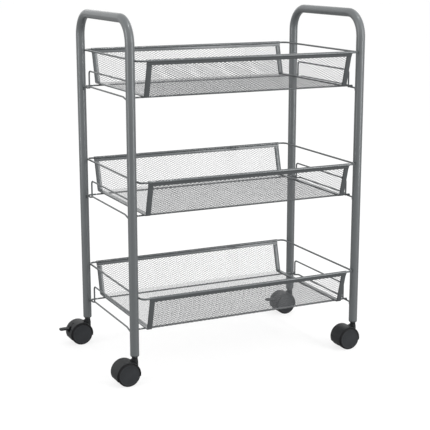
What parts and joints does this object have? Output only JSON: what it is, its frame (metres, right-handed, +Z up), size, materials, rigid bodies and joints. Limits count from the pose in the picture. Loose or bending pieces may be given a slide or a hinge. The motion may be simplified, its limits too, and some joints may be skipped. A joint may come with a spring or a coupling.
{
  "type": "rolling utility cart",
  "caption": "Steel rolling cart: bent-tube end frames carry tiers of open-ended mesh baskets on swivelling twin-wheel casters, the rear ones with brakes.",
  "frame": {"origin": "on the floor, at the middle of the whole part's box; the frame's own middle lies 24.5 mm towards +X of it, because the brake levers reach out to -X", "axes": "+Z up, +X along the cart from the left end frame to the right one, -Y the front, where the baskets face the user"},
  "size_m": [0.513, 0.2812, 0.638],
  "materials": {
    "frame_paint": "grey powder coat, fine texture, satin",
    "wire_paint": "grey powder coat over wire and folded strip, satin",
    "mesh_paint": "grey powder coat over expanded mesh, satin",
    "black_plastic": "moulded black plastic, fine grain, slight sheen",
    "wheel_plastic": "moulded black nylon",
    "steel": "zinc-plated steel pin"
  },
  "bodies": {
    "root": {"left_leg_frame": "frame_paint", "right_leg_frame": "frame_paint", "top_rim_wire": "wire_paint", "top_mesh_tray": "mesh_paint", "top_front_hem": "wire_paint", "top_back_hem": "wire_paint", "top_front_base_wire": "wire_paint", "top_back_base_wire": "wire_paint", "top_left_binding": "wire_paint", "top_right_binding": "wire_paint", "top_left_end_wires": "wire_paint", "top_right_end_wires": "wire_paint", "middle_rim_wire": "wire_paint", "middle_mesh_tray": "mesh_paint", "middle_front_hem": "wire_paint", "middle_back_hem": "wire_paint", "middle_front_base_wire": "wire_paint", "middle_back_base_wire": "wire_paint", "middle_left_binding": "wire_paint", "middle_right_binding": "wire_paint", "middle_left_end_wires": "wire_paint", "middle_right_end_wires": "wire_paint", "bottom_rim_wire": "wire_paint", "bottom_mesh_tray": "mesh_paint", "bottom_front_hem": "wire_paint", "bottom_back_hem": "wire_paint", "bottom_front_base_wire": "wire_paint", "bottom_back_base_wire": "wire_paint", "bottom_left_binding": "wire_paint", "bottom_right_binding": "wire_paint", "bottom_left_end_wires": "wire_paint", "bottom_right_end_wires": "wire_paint", "front_left_leg_plug": "black_plastic", "front_left_caster_stem": "steel", "rear_left_leg_plug": "black_plastic", "rear_left_caster_stem": "steel", "front_right_leg_plug": "black_plastic", "front_right_caster_stem": "steel", "rear_right_leg_plug": "black_plastic", "rear_right_caster_stem": "steel"},
    "front_left_caster": {"front_left_caster_housing": "black_plastic", "front_left_caster_axle": "steel"},
    "front_left_caster_front_wheel": {"front_left_caster_front_wheel": "wheel_plastic"},
    "front_left_caster_back_wheel": {"front_left_caster_back_wheel": "wheel_plastic"},
    "rear_left_caster": {"rear_left_caster_housing": "black_plastic", "rear_left_caster_axle": "steel", "rear_left_brake_pin": "steel"},
    "rear_left_caster_front_wheel": {"rear_left_caster_front_wheel": "wheel_plastic"},
    "rear_left_caster_back_wheel": {"rear_left_caster_back_wheel": "wheel_plastic"},
    "rear_left_brake_lever": {"rear_left_brake_lever": "black_plastic"},
    "front_right_caster": {"front_right_caster_housing": "black_plastic", "front_right_caster_axle": "steel"},
    "front_right_caster_front_wheel": {"front_right_caster_front_wheel": "wheel_plastic"},
    "front_right_caster_back_wheel": {"front_right_caster_back_wheel": "wheel_plastic"},
    "rear_right_caster": {"rear_right_caster_housing": "black_plastic", "rear_right_caster_axle": "steel", "rear_right_brake_pin": "steel"},
    "rear_right_caster_front_wheel": {"rear_right_caster_front_wheel": "wheel_plastic"},
    "rear_right_caster_back_wheel": {"rear_right_caster_back_wheel": "wheel_plastic"},
    "rear_right_brake_lever": {"rear_right_brake_lever": "black_plastic"}
  },
  "joints": [
    {"name": "front_left_swivel", "type": "hinge", "parent": "root", "child": "front_left_caster", "pos_m": [-0.1995, -0.123, 0.045], "axis": [0, 0, 1], "continuous": true},
    {"name": "front_left_front_wheel_spin", "type": "hinge", "parent": "front_left_caster", "child": "front_left_caster_front_wheel", "pos_m": [-0.2165, -0.13415, 0.021], "axis": [0, 1, 0], "continuous": true},
    {"name": "front_left_back_wheel_spin", "type": "hinge", "parent": "front_left_caster", "child": "front_left_caster_back_wheel", "pos_m": [-0.2165, -0.11185, 0.021], "axis": [0, 1, 0], "continuous": true},
    {"name": "rear_left_swivel", "type": "hinge", "parent": "root", "child": "rear_left_caster", "pos_m": [-0.1995, 0.123, 0.045], "axis": [0, 0, 1], "continuous": true},
    {"name": "rear_left_front_wheel_spin", "type": "hinge", "parent": "rear_left_caster", "child": "rear_left_caster_front_wheel", "pos_m": [-0.2165, 0.11185, 0.021], "axis": [0, 1, 0], "continuous": true},
    {"name": "rear_left_back_wheel_spin", "type": "hinge", "parent": "rear_left_caster", "child": "rear_left_caster_back_wheel", "pos_m": [-0.2165, 0.13415, 0.021], "axis": [0, 1, 0], "continuous": true},
    {"name": "rear_left_brake_press", "type": "hinge", "parent": "rear_left_caster", "child": "rear_left_brake_lever", "pos_m": [-0.2295, 0.123, 0.036], "axis": [0, -1, 0], "range_deg": [0, 14]},
    {"name": "front_right_swivel", "type": "hinge", "parent": "root", "child": "front_right_caster", "pos_m": [0.2485, -0.123, 0.045], "axis": [0, 0, 1], "continuous": true},
    {"name": "front_right_front_wheel_spin", "type": "hinge", "parent": "front_right_caster", "child": "front_right_caster_front_wheel", "pos_m": [0.2315, -0.13415, 0.021], "axis": [0, 1, 0], "continuous": true},
    {"name": "front_right_back_wheel_spin", "type": "hinge", "parent": "front_right_caster", "child": "front_right_caster_back_wheel", "pos_m": [0.2315, -0.11185, 0.021], "axis": [0, 1, 0], "continuous": true},
    {"name": "rear_right_swivel", "type": "hinge", "parent": "root", "child": "rear_right_caster", "pos_m": [0.2485, 0.123, 0.045], "axis": [0, 0, 1], "continuous": true},
    {"name": "rear_right_front_wheel_spin", "type": "hinge", "parent": "rear_right_caster", "child": "rear_right_caster_front_wheel", "pos_m": [0.2315, 0.11185, 0.021], "axis": [0, 1, 0], "continuous": true},
    {"name": "rear_right_back_wheel_spin", "type": "hinge", "parent": "rear_right_caster", "child": "rear_right_caster_back_wheel", "pos_m": [0.2315, 0.13415, 0.021], "axis": [0, 1, 0], "continuous": true},
    {"name": "rear_right_brake_press", "type": "hinge", "parent": "rear_right_caster", "child": "rear_right_brake_lever", "pos_m": [0.2185, 0.123, 0.036], "axis": [0, -1, 0], "range_deg": [0, 14]}
  ]
}
